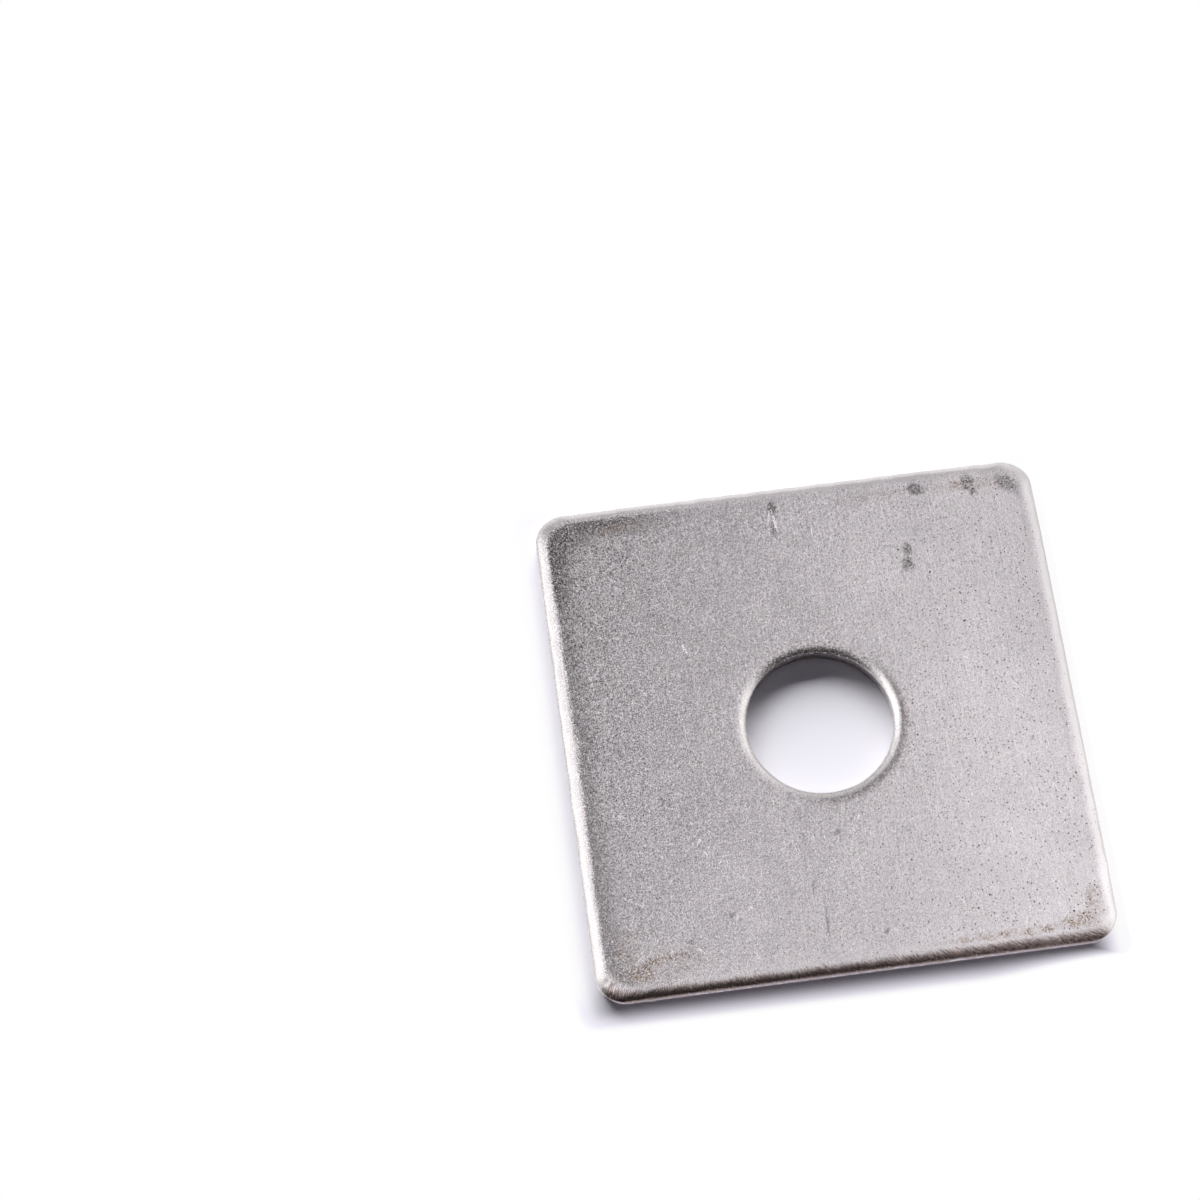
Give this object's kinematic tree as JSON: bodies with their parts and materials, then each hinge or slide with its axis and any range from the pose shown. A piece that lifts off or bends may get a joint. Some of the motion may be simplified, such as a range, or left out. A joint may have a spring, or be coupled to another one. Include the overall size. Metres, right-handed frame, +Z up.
{
  "type": "square plate washer",
  "caption": "Flat square washer with round corners, rolled upper edges and a central bolt hole, for spreading a bolt's load over soft or thin material.",
  "frame": {"origin": "centre of the underside, on the bolt hole's axis, where the washer rests", "axes": "+Z up through the bolt hole towards the face with the rolled edges, +X and +Y square to the plate's sides"},
  "size_m": [0.05, 0.05, 0.0025],
  "materials": {
    "stainless": "matt grey stainless, tumbled after blanking, with fine pits and glints"
  },
  "bodies": {
    "root": {"plate": "stainless"}
  },
  "joints": []
}
